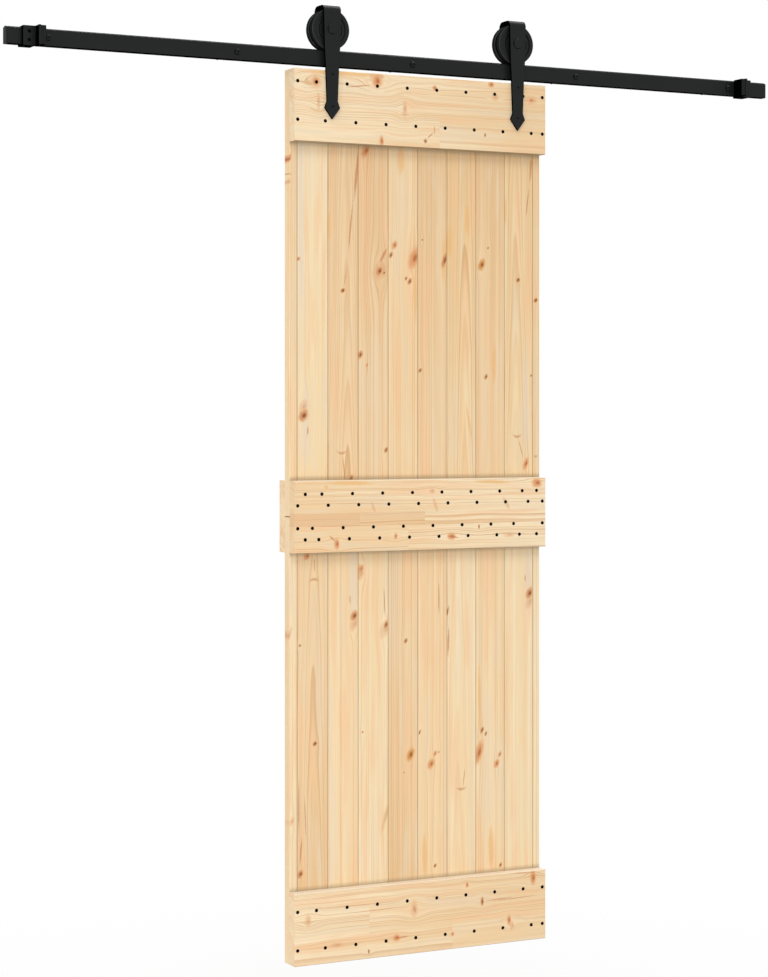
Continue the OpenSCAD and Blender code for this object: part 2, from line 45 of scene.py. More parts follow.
# Camera of the photograph, level and turned to the right
photoView = {
    "place": (-2.653, -5.154, -0.83275),  # metres
    "turn": 26.93,  # degrees
    "focal": 2386,  # pixels
    "horizon": 412,  # pixel row of eye level
    "height": 977,  # pixels
    "sensor": 36,  # millimetres
}
cameraData = bpy.data.cameras.new("camera")
camera = bpy.data.objects.new("camera", cameraData)
bpy.context.scene.collection.objects.link(camera)
camera.location = photoView["place"]
camera.rotation_euler = (math.radians(90), 0, -math.radians(photoView["turn"]))
cameraData.sensor_width = photoView["sensor"]
cameraData.lens = photoView["focal"] / photoView["height"] * photoView["sensor"]
cameraData.shift_y = photoView["horizon"] / photoView["height"] - 0.5
cameraData.clip_end = 100
bpy.context.scene.camera = camera
print("camera placed")


# Shader maths: a wire is one socket, and an expression on wires adds its nodes
class Wire:
    def __init__(self, tree, socket=None):
        self.tree = tree
        self.socket = socket

    def node(self, kind, settings, inputs, out=0):
        made = self.tree.nodes.new(kind)
        for name, value in settings.items():
            if name == "stops":
                setStops(made.color_ramp.elements, value)
            else:
                setattr(made, name, value)
        for key, value in inputs.items():
            if isinstance(value, Wire):
                self.tree.links.new(value.socket, made.inputs[key])
            else:
                made.inputs[key].default_value = value
        return Wire(self.tree, made.outputs[out] if made.outputs else None)

    def maths(self, operation, *others):
        return self.node("ShaderNodeMath", {"operation": operation}, dict(enumerate((self, *others))))

    def __add__(self, other):
        return self.maths("ADD", other)

    def __radd__(self, other):
        return self.maths("ADD", other)

    def __sub__(self, other):
        return self.maths("SUBTRACT", other)

    def __rsub__(self, other):
        return self.maths("MULTIPLY_ADD", -1, other)

    def __mul__(self, other):
        return self.maths("MULTIPLY", other)

    def __rmul__(self, other):
        return self.maths("MULTIPLY", other)

    def __truediv__(self, other):
        return self.maths("DIVIDE", other)

    def __abs__(self):
        return self.maths("ABSOLUTE")


def setStops(elements, stops):
    while len(elements) < len(stops):
        elements.new(1)
    for element, (position, colour) in zip(elements, stops):
        element.position = position
        element.color = colour


def paint(red, green, blue):  # a screen colour from 0 to 255 as a linear one, by the sRGB curve
    def linear(value):
        share = value / 255
        return share / 12.92 if share <= 0.04045 else ((share + 0.055) / 1.055) ** 2.4
    return (linear(red), linear(green), linear(blue), 1)


def smooth(value, low, high):
    return value.node(
        "ShaderNodeMapRange", {"interpolation_type": "SMOOTHSTEP"},
        {"Value": value, "From Min": low, "From Max": high},
    )


def blend(factor, first, second, how="MIX"):
    return factor.node(
        "ShaderNodeMix", {"data_type": "RGBA", "blend_type": how}, {0: factor, 6: first, 7: second}, out=2,
    )


def noise(across, along, deep, seed, detail=2):
    place = across.node("ShaderNodeCombineXYZ", {}, {0: across, 1: along, 2: deep})
    return place.node(
        "ShaderNodeTexNoise", {"noise_dimensions": "4D"},
        {"Vector": place, "W": seed, "Scale": 1, "Detail": detail},
    )


def coordinates(tree, output):  # three wires of the Texture Coordinate node
    whole = Wire(tree).node("ShaderNodeTexCoord", {}, {}, out=output)
    return [whole.node("ShaderNodeSeparateXYZ", {}, {0: whole}, out=axis) for axis in range(3)]


def newMaterial(name):
    material = bpy.data.materials.new(name)
    material.use_nodes = True
    material.node_tree.nodes.clear()
    return material


def setSurface(material, inputs, share=None, others=None):  # a share of a second surface can be mixed in
    start = Wire(material.node_tree)
    shader = start.node("ShaderNodeBsdfPrincipled", {}, inputs)
    if others:
        second = start.node("ShaderNodeBsdfPrincipled", {}, others)
        shader = start.node("ShaderNodeMixShader", {}, {0: share, 1: shader, 2: second})
    start.node("ShaderNodeOutputMaterial", {}, {"Surface": shader})
    return material


def seenDirectly(start):  # 1 for what the camera, a reflection or glass shows
    kinds = ("Is Camera Ray", "Is Glossy Ray", "Is Transmission Ray")
    rays = [start.node("ShaderNodeLightPath", {}, {}, out=kind) for kind in kinds]
    return (rays[0] + rays[1] + rays[2]).maths("MINIMUM", 1)


def wear(nodeName, material):  # puts a material in all slots of a CAD node
    for materialSlot in nodes[nodeName].material_slots:
        materialSlot.material = material


# Pine: rings round a pith that lies beside or behind the board, and marks placed one by one.
# Places are millimetres from the door's left side and from its bottom
perMetre = 1000
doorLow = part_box("bottom_batten")[0] * perMetre
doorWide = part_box("bottom_batten")[1].x * perMetre - doorLow.x
edgeStrip = 5  # no joints this near the door's sides
pineTones = {
    "cream": {"pale": paint(248, 228, 192), "warm": paint(242, 215, 169), "line": paint(227, 185, 133)},
    "honey": {"pale": paint(244, 218, 175), "warm": paint(233, 198, 146), "line": paint(212, 161, 104)},
    "tan": {"pale": paint(241, 212, 169), "warm": paint(231, 195, 147), "line": paint(212, 164, 112)},
    "peach": {"pale": paint(247, 222, 180), "warm": paint(239, 206, 159), "line": paint(219, 171, 118)},
    "butter": {"pale": paint(250, 230, 194), "warm": paint(238, 205, 159), "line": paint(212, 165, 114)},
}
knotKinds = {
    "dark": {"stops": [
        (0, paint(184, 112, 66)), (0.3, paint(200, 132, 84)), (0.52, paint(214, 154, 104)),
        (0.7, paint(228, 178, 126)), (1, paint(235, 196, 148)),
    ], "reach": 1.7, "strength": 0.9, "core": paint(130, 70, 24), "coreShare": 0.85},
    "red": {"stops": [
        (0, paint(206, 132, 80)), (0.36, paint(219, 147, 94)), (0.6, paint(230, 172, 119)),
        (1, paint(238, 200, 154)),
    ], "reach": 1.8, "strength": 0.85, "core": paint(176, 94, 48), "coreShare": 0.75},
    "amber": {"stops": [
        (0, paint(188, 110, 46)), (0.36, paint(207, 140, 72)), (0.6, paint(222, 165, 97)),
        (1, paint(235, 191, 135)),
    ], "reach": 1.9, "strength": 0.9, "core": paint(146, 76, 22), "coreShare": 0.85},
    "bud": {"stops": [
        (0, paint(148, 82, 28)), (0.4, paint(186, 118, 56)), (0.7, paint(222, 168, 108)),
        (1, paint(236, 196, 144)),
    ], "reach": 1.7, "strength": 0.9, "core": paint(86, 34, 5), "coreShare": 0.95},
    "pip": {"stops": [
        (0, paint(164, 96, 50)), (0.4, paint(188, 122, 70)), (0.7, paint(220, 168, 116)),
        (1, paint(234, 196, 150)),
    ], "reach": 1.6, "strength": 0.85, "core": paint(118, 62, 30), "coreShare": 0.75},
    "soft": {"stops": [
        (0, paint(210, 152, 106)), (0.4, paint(224, 170, 122)), (1, paint(235, 194, 148)),
    ], "reach": 1.6, "strength": 0.5, "core": paint(200, 138, 92), "coreShare": 0.3},
}
knotShape = {
    "size": 1.14, "slant": 0.28, "fadeFrom": 0.85, "coreSize": 0.48, "coreAside": 0.12,
    "coreFade": (0.4, 1.3), "coreRough": 0.5, "rough": 0.6, "roughWide": 5, "roughLong": 8, "roughSeed": 9,
}
stainKinds = {
    "resin": {"colour": paint(196, 122, 76), "strength": 0.7},
    "orange": {"colour": paint(236, 186, 122), "strength": 0.75},
    "lilac": {"colour": paint(228, 210, 188), "strength": 0.6},
    "blush": {"colour": paint(222, 170, 126), "strength": 0.55},
    # painted shade, listed with the stains, for the left side of the lower left strip
    "shade": {"colour": paint(231, 199, 154), "strength": 0.6},
}
stainFade = (0.45, 1.1)
wingLook = {"colour": paint(200, 136, 88), "strength": 0.7, "thick": 9, "fade": (0.1, 1.2)}
knotBend = {"pull": 0.85, "across": 0.9, "acrossMore": 3, "along": 2, "alongMore": 7}
grainNoises = {  # millimetres across and along the grain, and a step of the seed
    "wander": (70, 450, 0), "ripple": (22, 150, 7), "fibre": (1.1, 80, 3), "tone": (13, 800, 5),
    "patch": (20, 260, 13),
}
grainLook = {
    "wanderShare": 2, "rippleShare": 0.5, "flameLength": 420, "flameSeed": 11, "tilt": 0.009,
    "lateRise": (0.2, 0.85), "lateFall": (0.9, 1), "faintest": 0.1, "fibreDetail": 3, "fibreSpan": (0.5, 0.8),
    "fibreShare": 0.3, "toneSpan": (0.32, 0.68), "toneShare": 0.75, "pieceSeed": 17.3, "pieceShift": 29,
    "blush": paint(245, 198, 153), "blushShare": 0.5, "blushSpan": (0.5, 0.66),
    "chalk": paint(235, 215, 185), "chalkShare": 0.5, "chalkSpan": (0.34, 0.5), "flush": paint(228, 184, 139),
    # colours and shares of painted shade in the joints, along the battens' edges and on a batten's underside, and
    # of painted light on its top
    "joint": paint(146, 134, 108), "jointShadeShare": 0.38, "endShare": 0.06,
    "underShade": paint(120, 102, 72), "underShadeShare": 0.7, "top": paint(252, 243, 225), "topShare": 0.7,
    "ledgeHigh": 13, "ledgeShare": 0.48, "bump": 0.12, "bumpDepth": 0.0006, "fibreHeight": 0.6,
    "lineHeight": 0.4, "roughness": 0.5, "fibreRough": 0.16, "lineSmooth": 0.1, "specular": 0.3,
}
faceSpans = {"end": (0.6, 0.95), "flat": (0.5, 0.7), "slopeFrom": (0.4, 0.5), "slopeTo": (0.85, 0.95)}
ledges = [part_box(name)[1].z * perMetre - doorLow.z for name in ("middle_batten", "bottom_batten")]
ledges += [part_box(name)[0].z * perMetre - doorLow.z for name in ("top_batten", "middle_batten")]


def oval(dx, dz, width, height):  # 0 in the middle and 1 at the edge of an ellipse
    across = dx / (width / 2)
    along = dz / (height / 2)
    return (across * across + along * along).maths("SQRT")


def paintKnot(colour, rough, doorX, doorZ, slant, kind, x, z, width, height):
    look = knotKinds[kind]
    width, height = width * knotShape["size"], height * knotShape["size"]
    dz = doorZ - z
    dx = doorX - x - dz * slant
    edge = oval(dx, dz, width, height) + rough
    shade = edge.node("ShaderNodeValToRGB", {"stops": look["stops"]}, {0: edge / look["reach"]})
    colour = blend((1 - smooth(edge, knotShape["fadeFrom"], look["reach"])) * look["strength"], colour, shade)
    size = knotShape["coreSize"]
    core = oval(dx - width * knotShape["coreAside"], dz, width * size, height * size)
    inner = 1 - smooth(core + rough * knotShape["coreRough"], *knotShape["coreFade"])
    return blend(inner * look["coreShare"], colour, look["core"])


def paintStain(colour, rough, doorX, doorZ, kind, x0, z0, x1, z1, width):
    look = stainKinds[kind]
    length = math.hypot(x1 - x0, z1 - z0)
    dx = doorX - (x0 + x1) / 2
    dz = doorZ - (z0 + z1) / 2
    along = dx * ((x1 - x0) / length) + dz * ((z1 - z0) / length)
    across = dx * ((z1 - z0) / length) - dz * ((x1 - x0) / length)
    edge = oval(across, along, width, length) + rough
    return blend((1 - smooth(edge, *stainFade)) * look["strength"], colour, look["colour"])


def paintWings(colour, rough, doorX, doorZ, x, z, width, rise):  # a knot cut along its length
    dx = doorX - x
    bow = doorZ - z - dx * dx * (4 * rise / width / width)
    edge = oval(dx, bow, width, wingLook["thick"]) + rough
    return blend((1 - smooth(edge, *wingLook["fade"])) * wingLook["strength"], colour, wingLook["colour"])


def inside(value, low, high):  # 1 between two limits
    return value.maths("GREATER_THAN", low) * value.maths("LESS_THAN", high)


def within(across, along, acrossLow, acrossHigh, alongLow, alongHigh):  # 1 in a rectangle
    return inside(across, acrossLow, acrossHigh) * inside(along, alongLow, alongHigh)


def grainNoise(layer, across, along, deep, seed, detail=2):
    wide, long, step = grainNoises[layer]
    return noise(across / wide, along / long, deep / wide, seed + step, detail)


def pine(
    name, tone, seed, lengthwise, ends, ringGap, pith, wave, contrast, marks,
    pieces=(), flushed=(), flame=0, lean=0,
):
    material = newMaterial(name)
    tree = material.node_tree
    x, y, z = coordinates(tree, "Object")
    doorX = x * perMetre - doorLow.x
    deep = y * perMetre - doorLow.y
    doorZ = z * perMetre - doorLow.z
    across, along = (doorX, doorZ) if lengthwise == "z" else (doorZ, doorX)
    colours = pineTones[tone]

    # a glued batten has a grain of its own in each piece
    tint = ((along - ends[0]) / (ends[1] - ends[0]) - 0.5) * lean
    for number, (*area, warmth) in enumerate(pieces, 1):
        here = within(across, along, *area)
        tint = tint + here * warmth
        seed = here * (number * grainLook["pieceSeed"]) + seed
        pith = (here * (number * grainLook["pieceShift"]) + pith[0], pith[1])

    # the grain passes round each knot
    bent = across
    for kind, *size in marks:
        if kind in knotKinds:
            knotX, knotZ, width, height = size
            middle, step = (knotX, knotZ) if lengthwise == "z" else (knotZ, knotX)
            wide, long = (width, height) if lengthwise == "z" else (height, width)
            near = oval(
                across - middle, along - step,
                2 * (wide * knotBend["across"] + knotBend["acrossMore"]),
                2 * (long * knotBend["along"] + knotBend["alongMore"]),
            )
            bent = bent - (across - middle) * (near * near * -1).maths("EXPONENT") * knotBend["pull"]

    wander = grainNoise("wander", across, along, deep, seed) - 0.5
    ripple = grainNoise("ripple", across, along, deep, seed) - 0.5
    sideways = bent - pith[0] + wander * (grainLook["wanderShare"] * wave)
    sideways = sideways + ripple * (grainLook["rippleShare"] * wave)
    inwards = deep - pith[1]
    if flame:  # rings that the saw cut at a slant
        sway = noise(along / grainLook["flameLength"], 0, 0, seed + grainLook["flameSeed"]) - 0.5
        inwards = inwards + sway * flame - along * grainLook["tilt"]
    radius = (sideways * sideways + inwards * inwards).maths("SQRT")
    turn = radius / ringGap
    ring = turn.maths("FLOOR")
    saw = turn - ring
    late = smooth(saw, *grainLook["lateRise"]) * (1 - smooth(saw, *grainLook["lateFall"]))
    weight = ring.node("ShaderNodeTexWhiteNoise", {"noise_dimensions": "2D"}, {
        "Vector": ring.node("ShaderNodeCombineXYZ", {}, {0: ring, 1: seed}),
    })
    faintest = grainLook["faintest"]
    line = late * (weight * weight * (1 - faintest) + faintest) * contrast
    fibre = grainNoise("fibre", bent, along, deep, seed, grainLook["fibreDetail"])
    drift = grainNoise("tone", bent, along, deep, seed)
    tint = (smooth(drift + tint, *grainLook["toneSpan"]) - 0.5) * grainLook["toneShare"] + 0.5
    colour = blend(tint, colours["pale"], colours["warm"])
    patch = grainNoise("patch", bent, along, deep, seed)
    pink = smooth(patch, *grainLook["blushSpan"])
    colour = blend(pink * grainLook["blushShare"], colour, grainLook["blush"])
    bleached = 1 - smooth(patch, *grainLook["chalkSpan"])
    colour = blend(bleached * grainLook["chalkShare"], colour, grainLook["chalk"])
    for *area, share in flushed:  # pieces of a pinker wood
        colour = blend(within(across, along, *area) * share, colour, grainLook["flush"])
    colour = blend(line, colour, colours["line"])
    streak = smooth(fibre, *grainLook["fibreSpan"])
    colour = blend(streak * grainLook["fibreShare"], colour, colours["line"])

    wide, long = knotShape["roughWide"], knotShape["roughLong"]
    rough = noise(doorX / wide, doorZ / long, deep / long, seed + knotShape["roughSeed"]) - 0.5
    rough = rough * knotShape["rough"]
    for kind, *size in marks:
        if kind in knotKinds:
            slant = knotShape["slant"] if lengthwise == "z" else 0
            colour = paintKnot(colour, rough, doorX, doorZ, slant, kind, *size)
        elif kind in stainKinds:
            colour = paintStain(colour, rough, doorX, doorZ, kind, *size)
        else:
            colour = paintWings(colour, rough, doorX, doorZ, *size)

    facing = coordinates(tree, "Normal")
    endGrain = smooth(abs(facing["xyz".index(lengthwise)]), *faceSpans["end"])
    colour = blend(endGrain * grainLook["endShare"], colour, colours["line"])
    if lengthwise == "x":  # painted shade on the underside and painted light on the top of a batten
        down = smooth(facing[2] * -1, *faceSpans["flat"])
        colour = blend(down * grainLook["underShadeShare"], colour, grainLook["underShade"])
        upward = smooth(facing[2], *faceSpans["flat"])
        colour = blend(upward * grainLook["topShare"], colour, grainLook["top"])
    else:  # painted shade on the boards along the battens' edges and on the slopes of the joints between boards
        for ledge in ledges:
            near = 1 - smooth(abs(doorZ - ledge), 0, grainLook["ledgeHigh"])
            ledgeShade = near * smooth(facing[1] * -1, *faceSpans["flat"]) * grainLook["ledgeShare"]
            colour = blend(ledgeShade, colour, grainLook["joint"])
        # painted shade on the slopes of the joints between boards
        sideFacing = abs(facing[0])
        slope = smooth(sideFacing, *faceSpans["slopeFrom"]) * (1 - smooth(sideFacing, *faceSpans["slopeTo"]))
        joint = slope * inside(doorX, edgeStrip, doorWide - edgeStrip)
        colour = blend(joint * grainLook["jointShadeShare"], colour, grainLook["joint"])
    height = fibre * grainLook["fibreHeight"] + line * grainLook["lineHeight"]
    normal = height.node("ShaderNodeBump", {}, {
        "Strength": grainLook["bump"], "Distance": grainLook["bumpDepth"], "Height": height,
    })
    roughness = fibre * grainLook["fibreRough"] + grainLook["roughness"] - line * grainLook["lineSmooth"]
    return setSurface(material, {
        "Base Color": colour, "Roughness": roughness,
        "Specular IOR Level": grainLook["specular"], "Normal": normal,
    })


# One entry for each board: tone, pith (across and behind), its lines, and how the tone leans along it.
# Marks: a knot is x, z, width, height; a stain x, z, x, z, width; wings x, z, width, rise
boardSeed = 3.7
straight = {"ringGap": 4.6, "wave": 3, "contrast": 0.58}
lively = {**straight, "contrast": 0.72}
curly = {"ringGap": 1.9, "wave": 9, "contrast": 0.8, "flame": 4}
boardLooks = {
    "upper_left_strip": {"tone": "peach", "pith": (-120, 60), **straight, "marks": [
        ("red", 0, 1890, 5, 18), ("resin", -4, 1858, 5, 1852, 3), ("soft", 0, 1836, 5, 10),
    ]},
    "upper_board_1": {"tone": "cream", "pith": (190, 70), **straight, "lean": -0.3, "marks": [
        ("lilac", 41, 1130, 41, 1400, 20), ("lilac", 30, 1500, 30, 2000, 18),
        ("soft", 36, 1308, 16, 26), ("dark", 36, 1288, 18, 22), ("resin", 47, 1240, 48, 1264, 5),
        ("red", 23, 1656, 7, 7),
    ]},
    "upper_board_2": {"tone": "tan", "pith": (150, 70), **curly, "lean": 0.35, "marks": [
        ("orange", 104, 1690, 102, 1780, 10), ("resin", 182, 1930, 168, 1790, 9),
        ("resin", 166, 1800, 153, 1670, 5), ("bud", 139, 1584, 8, 9), ("resin", 141, 1592, 151, 1640, 2),
        ("wings", 136, 1198, 30, 7),
        ("resin", 138, 1196, 146, 1128, 3), ("dark", 161, 1139, 9, 12),
    ]},
    "upper_board_3": {"tone": "tan", "pith": (60, 60), **lively, "lean": 0.7, "marks": [
        ("red", 200, 1919, 15, 26), ("resin", 236, 1650, 257, 1690, 9), ("soft", 238, 1633, 30, 34),
        ("dark", 236, 1633, 13, 17), ("pip", 249, 1629, 5, 6), ("dark", 185, 1432, 10, 15),
        ("red", 203, 1408, 4, 8), ("pip", 254, 1205, 7, 11),
    ]},
    "upper_board_4": {"tone": "peach", "pith": (430, 60), **straight, "marks": [
        ("orange", 294, 1860, 294, 1950, 24), ("orange", 333, 1500, 333, 1650, 10),
        ("pip", 267, 1672, 7, 12), ("red", 277, 1696, 10, 14), ("red", 330, 1667, 20, 38),
        ("pip", 318, 1610, 8, 12), ("pip", 308, 1617, 5, 8),
    ]},
    "upper_board_5": {"tone": "tan", "pith": (240, 60), **lively, "lean": 0.5, "marks": [
        ("pip", 352, 1711, 4, 4), ("orange", 410, 1600, 416, 1735, 16), ("dark", 413, 1664, 10, 30),
        ("pip", 346, 1396, 7, 9),
    ]},
    "upper_board_6": {
        "tone": "honey", "pith": (470, 75), **curly, "wave": 5, "contrast": 0.62, "lean": 0.55, "marks": [
            ("orange", 476, 1718, 476, 1809, 17), ("orange", 426, 1660, 426, 1755, 17),
            ("orange", 490, 1220, 472, 1320, 8),
        ],
    },
    "upper_board_7": {"tone": "tan", "pith": (660, 60), **lively, "lean": 0.3, "marks": [
        ("amber", 516, 1656, 13, 19), ("pip", 534, 1697, 4, 4), ("pip", 528, 1382, 7, 10),
        ("orange", 550, 1350, 552, 1480, 14),
    ]},
    "upper_board_8": {"tone": "honey", "pith": (612, 75), **curly, "lean": 0.3, "marks": [
        ("lilac", 640, 1150, 640, 1500, 14), ("orange", 583, 1750, 583, 1830, 8),
        ("resin", 657, 1930, 652, 1860, 6), ("resin", 650, 1850, 640, 1770, 4), ("bud", 619, 1621, 8, 9),
        ("wings", 616, 1235, 30, 8), ("resin", 619, 1232, 634, 1180, 3), ("red", 641, 1169, 10, 22),
        ("pip", 656, 1386, 4, 5),
    ]},
    "upper_right_strip": {"tone": "honey", "pith": (560, 60), **straight, "lean": 0.3, "marks": [
        ("bud", 669, 1572, 8, 9), ("wings", 669, 1186, 14, 4),
    ]},
    "lower_left_strip": {"tone": "cream", "pith": (-130, 60), **straight, "marks": [
        ("shade", 0, -40, 0, 1120, 4), ("soft", 6, 335, 9, 16), ("soft", 0, 771, 5, 34),
    ]},
    "lower_board_1": {"tone": "tan", "pith": (64, 75), **curly, "contrast": 0.62, "lean": -0.5, "marks": [
        ("red", 45, 957, 12, 14), ("resin", 64, 955, 66, 915, 3), ("wings", 64, 902, 30, -6),
        ("bud", 66, 514, 8, 9), ("pip", 27, 747, 5, 5), ("resin", 24, 300, 24, 440, 4),
        ("resin", 27, 225, 32, 300, 5), ("resin", 44, 280, 38, 400, 3), ("dark", 28, 210, 11, 16),
    ]},
    "lower_board_2": {"tone": "peach", "pith": (20, 60), **straight, "lean": 0.2, "marks": [
        ("lilac", 167, 760, 167, 1000, 20), ("soft", 169, 792, 15, 24), ("dark", 169, 812, 14, 18),
        ("resin", 158, 840, 158, 862, 4),
    ]},
    "lower_board_3": {"tone": "cream", "pith": (340, 60), **straight, "lean": 0.25, "marks": [
        ("red", 187, 922, 11, 15), ("soft", 187, 910, 14, 20), ("resin", 248, 880, 252, 800, 4),
        ("soft", 251, 778, 18, 34), ("pip", 254, 787, 8, 14), ("red", 191, 534, 4, 5),
        ("soft", 253, 330, 8, 60),
    ]},
    "lower_board_4": {"tone": "tan", "pith": (180, 60), **straight, "lean": -0.4, "marks": [
        ("pip", 307, 746, 7, 10), ("amber", 320, 472, 13, 21), ("red", 302, 430, 3, 5),
    ]},
    "lower_board_5": {"tone": "peach", "pith": (500, 60), **straight, "marks": [
        ("orange", 359, 160, 359, 290, 15), ("resin", 398, 800, 397, 890, 4), ("pip", 345, 524, 4, 10),
        ("red", 376, 446, 13, 18), ("red", 387, 470, 6, 10), ("pip", 397, 473, 3, 4),
        ("pip", 387, 199, 6, 8),
    ]},
    "lower_board_6": {"tone": "cream", "pith": (450, 75), **curly, "wave": 5, "contrast": 0.5, "marks": [
        ("pip", 420, 809, 5, 24), ("resin", 423, 700, 425, 780, 6), ("wings", 459, 379, 32, 5),
        ("resin", 470, 430, 464, 385, 3),
    ]},
    "lower_board_7": {"tone": "peach", "pith": (390, 60), **straight, "marks": [
        ("orange", 512, 480, 508, 700, 10), ("orange", 542, 170, 542, 290, 18), ("pip", 517, 519, 7, 12),
        ("pip", 528, 510, 5, 9), ("red", 508, 465, 15, 40), ("red", 567, 457, 6, 11),
        ("red", 558, 435, 10, 16), ("pip", 569, 185, 6, 9),
    ]},
    "lower_board_8": {"tone": "cream", "pith": (480, 60), **straight, "marks": [
        ("lilac", 648, 780, 648, 1000, 20), ("soft", 651, 828, 15, 26), ("dark", 651, 849, 14, 20),
        ("resin", 639, 878, 639, 896, 4),
    ]},
    "lower_right_strip": {"tone": "cream", "pith": (800, 60), **straight, "marks": []},
}
for index, (boardName, look) in enumerate(boardLooks.items()):
    ends = [corner.z * perMetre - doorLow.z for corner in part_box(boardName)]
    wear(boardName, pine("pine_" + boardName, seed=index * boardSeed, lengthwise="z", ends=ends, **look))
print("boards finished:", len(boardLooks))

# A batten also has glued pieces: across from and to, along from and to, warmth or share of pink
battenGrain = {"tone": "butter", "ringGap": 3, "wave": 10, "contrast": 0.75}
battenSeeds = {"first": 100, "step": 5.3}
battenLooks = {
    "top_batten": {**battenGrain, "pith": (1850, 90), "lean": 0.4, "pieces": [
        (2008, 2058, -50, 288, -0.06), (2008, 2058, 288, 730, 0.06),
        (1900, 2008, -50, 385, 0.06), (1900, 2008, 385, 730, 0.06),
    ], "marks": [
        ("orange", 0, 2092, 250, 2096, 12), ("soft", 55, 2071, 28, 26), ("red", 55, 2071, 13, 15),
        ("soft", 216, 2090, 28, 30), ("red", 216, 2082, 16, 22), ("resin", 205, 2072, 130, 2062, 4),
        ("red", 371, 2075, 8, 9), ("red", 527, 2093, 12, 10), ("soft", 538, 2063, 16, 14),
        ("soft", 640, 2061, 24, 16), ("red", 640, 2061, 9, 6), ("soft", 62, 2025, 7, 30),
        ("soft", 290, 2020, 9, 30), ("red", 228, 1940, 8, 18), ("pip", 346, 1946, 7, 8),
        ("resin", 370, 1985, 371, 1962, 3), ("resin", 368, 1968, 350, 1952, 4), ("pip", 510, 1969, 4, 8),
    ]},
    "middle_batten": {**battenGrain, "pith": (900, 100), "lean": -0.46, "pieces": [
        (1058, 1160, -50, 730, -0.05), (1027, 1058, -50, 170, 0.2), (1027, 1058, 170, 345, 0.13),
        (1027, 1058, 345, 730, 0.1), (940, 1027, -50, 300, 0.04), (940, 1027, 300, 730, 0.06),
    ], "flushed": [(1027, 1058, -50, 170, 0.7), (1027, 1058, 170, 345, 0.4)], "marks": [
        ("resin", 20, 1028, 230, 1026, 1.6), ("resin", 300, 1027, 660, 1028, 1.2),
        ("orange", 80, 1130, 214, 1126, 12), ("orange", 79, 1126, 86, 1112, 12),
        ("orange", 470, 1128, 590, 1124, 10),
        ("blush", 200, 1086, 212, 1056, 10), ("blush", 366, 1092, 380, 1054, 11),
        ("blush", 560, 1090, 580, 1056, 12),
        ("resin", 90, 1005, 108, 990, 5), ("red", 110, 985, 10, 18), ("red", 417, 996, 16, 12),
        ("resin", 400, 998, 440, 992, 5), ("pip", 493, 1018, 4, 9), ("red", 266, 1000, 6, 11),
        ("soft", 577, 996, 24, 9), ("red", 656, 1122, 20, 16), ("soft", 364, 1106, 12, 10),
    ]},
    "bottom_batten": {**battenGrain, "pith": (-90, 100), "lean": 0.2, "pieces": [
        (60, 128, -50, 196, 0.01), (60, 128, 196, 730, 0.05), (-30, 60, -50, 420, 0.05),
        (-30, 60, 420, 730, 0.05),
    ], "marks": [
        ("resin", 140, 112, 300, 115, 2), ("resin", 520, 104, 672, 109, 2.4),
        ("resin", 30, 132, 240, 128, 1.4),
        ("soft", 35, 105, 12, 22), ("resin", 312, 116, 320, 96, 7), ("soft", 316, 107, 14, 30),
        ("pip", 502, 107, 7, 16), ("resin", 506, 107, 590, 110, 3), ("red", 645, 152, 11, 26),
        ("red", 577, 55, 8, 18), ("soft", 585, 40, 10, 16), ("red", 268, 42, 15, 12),
        ("resin", 270, 41, 302, 43, 4), ("soft", 110, 41, 26, 9), ("pip", 194, 17, 4, 9),
        ("red", 420, 36, 6, 8), ("red", 460, 151, 6, 10), ("resin", 580, 168, 660, 164, 3),
    ]},
    "rear_batten": {**battenGrain, "pith": (1250, -60), "pieces": [
        (1040, 1092, -50, 300, -0.1), (1040, 1092, 300, 730, 0.1), (1092, 1160, -50, 730, 0.05),
    ], "marks": [
        ("red", 130, 1080, 12, 16), ("soft", 420, 1010, 20, 22), ("pip", 560, 1095, 7, 9),
    ]},
}
for index, (battenName, look) in enumerate(battenLooks.items()):
    seed = battenSeeds["first"] + index * battenSeeds["step"]
    wear(battenName, pine("pine_" + battenName, seed=seed, lengthwise="x", ends=(0, doorWide), **look))
print("battens finished:", len(battenLooks))

# Black finishes: colour, gloss, and the size and depth of the texture in the coat
coatLooks = {
    # black_steel and stop_rubber also take painted shade: black on their sides that face left or down
    "black_steel": {
        "colour": paint(24, 26, 25), "rough": 0.38, "gloss": 0.15, "grain": 1.4, "bump": 0.06, "paintedShade": 1,
    },
    "wheel_steel": {"colour": paint(23, 25, 24), "rough": 0.34, "gloss": 0.16, "grain": 1.4, "bump": 0.05},
    "black_screw": {"colour": paint(10, 8, 7), "rough": 0.55, "gloss": 0.06, "grain": 0.8, "bump": 0.05},
    "cap_plastic": {"colour": paint(33, 33, 33), "rough": 0.55, "gloss": 0.07, "grain": 0.9, "bump": 0.12},
    "stop_rubber": {
        "colour": paint(21, 22, 22), "rough": 0.6, "gloss": 0.14, "grain": 1.8, "bump": 0.1, "paintedShade": 1,
    },
}
wheelEdge = {
    # a painted highlight colour for edges, a matt rim colour, and black painted shade for the groove
    "paintedHighlight": paint(46, 48, 47), "rim": paint(30, 31, 31), "groove": paint(3, 3, 3),
    "grooveHalf": 4.8, "grooveFade": 0.3, "ringRadius": 30, "ringHalf": 1.2,  # millimetres
    "turning": 5, "turningHeight": 0.25, "peelHeight": 0.5,
    "paintedHighlightFrom": (0.5, 0.6), "paintedHighlightTo": (0.85, 0.95), "rimSpan": (0.35, 0.5),
}
coatLook = {
    "peelSeed": 1.5, "cloudSeed": 4.5, "detail": 3, "cloudSize": 60, "cloudSpan": (0.3, 0.7),
    # the last colour and span are for painted shade on the sides that face left or down
    "cloudShare": 0.35, "cloudLift": 1.3, "paintedShade": paint(3, 3, 3), "paintedShadeSpan": (0.55, 0.8),
    "cloudRough": 0.1, "peelRough": 0.04, "edgeSamples": 4,
    "bumpDepth": 0.0004, "edgeRound": 0.0009,  # metres; the second is how far the light catches an edge
}


